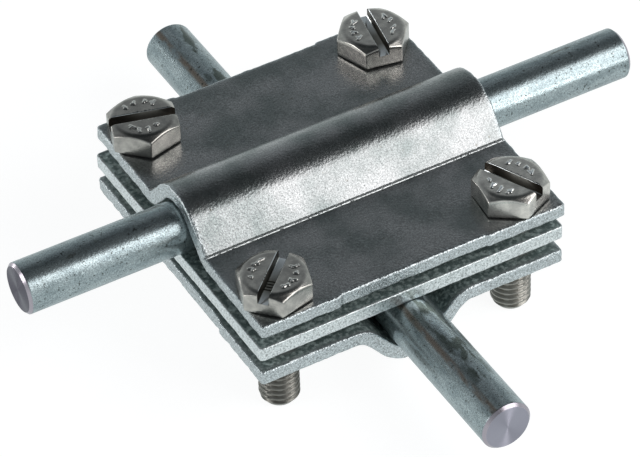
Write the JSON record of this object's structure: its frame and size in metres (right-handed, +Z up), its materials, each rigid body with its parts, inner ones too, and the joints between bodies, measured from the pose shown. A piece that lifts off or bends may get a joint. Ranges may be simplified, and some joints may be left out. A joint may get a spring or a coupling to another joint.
{
  "type": "cross connector clamp",
  "caption": "Square-plate clamp that joins crossing round earthing conductors at a right angle, with grooved outer plates, a flat plate between them and slotted hexagon bolts.",
  "frame": {"origin": "below the crossing of the conductors, in the plane of the lowest bolt ends", "axes": "+Z up through the plates, +X along the upper conductor, +Y along the lower conductor"},
  "size_m": [0.1304, 0.1296, 0.0343],
  "materials": {
    "galvanised_plate": "hot-dip galvanised pressed steel plate",
    "galvanised_rod": "hot-dip galvanised drawn steel rod",
    "stainless_bolt": "cold-forged stainless steel"
  },
  "bodies": {
    "root": {"lower_plate": "galvanised_plate", "middle_plate": "galvanised_plate"},
    "upper_plate": {"upper_plate": "galvanised_plate"},
    "upper_conductor": {"upper_conductor": "galvanised_rod"},
    "lower_conductor": {"lower_conductor": "galvanised_rod"},
    "bolt_left": {"bolt_left": "stainless_bolt"},
    "bolt_front": {"bolt_front": "stainless_bolt"},
    "bolt_right": {"bolt_right": "stainless_bolt"},
    "bolt_back": {"bolt_back": "stainless_bolt"}
  },
  "joints": [
    {"name": "upper_plate_lift", "type": "slide", "parent": "root", "child": "upper_plate", "axis": [0, 0, 1], "range_m": [0, 0.01]},
    {"name": "upper_conductor_slide", "type": "slide", "parent": "root", "child": "upper_conductor", "axis": [1, 0, 0], "range_m": [-0.025, 0.025]},
    {"name": "lower_conductor_slide", "type": "slide", "parent": "root", "child": "lower_conductor", "axis": [0, 1, 0], "range_m": [-0.025, 0.025]},
    {"name": "bolt_left_turn", "type": "hinge", "parent": "upper_plate", "child": "bolt_left", "pos_m": [-0.02525, 0.02525, 0.02732], "axis": [0, 0, 1], "range_deg": [0, 2880]},
    {"name": "bolt_front_turn", "type": "hinge", "parent": "upper_plate", "child": "bolt_front", "pos_m": [-0.02525, -0.02525, 0.026], "axis": [0, 0, 1], "range_deg": [0, 2880]},
    {"name": "bolt_right_turn", "type": "hinge", "parent": "upper_plate", "child": "bolt_right", "pos_m": [0.02525, -0.02525, 0.026], "axis": [0, 0, 1], "range_deg": [0, 2880]},
    {"name": "bolt_back_turn", "type": "hinge", "parent": "upper_plate", "child": "bolt_back", "pos_m": [0.02525, 0.02525, 0.02732], "axis": [0, 0, 1], "range_deg": [0, 2880]}
  ],
  "couplings": [
    {"joint": "bolt_left_turn", "follows": "upper_plate_lift", "rad_per_m": 5026.5},
    {"joint": "bolt_front_turn", "follows": "upper_plate_lift", "rad_per_m": 5026.5},
    {"joint": "bolt_right_turn", "follows": "upper_plate_lift", "rad_per_m": 5026.5},
    {"joint": "bolt_back_turn", "follows": "upper_plate_lift", "rad_per_m": 5026.5}
  ]
}
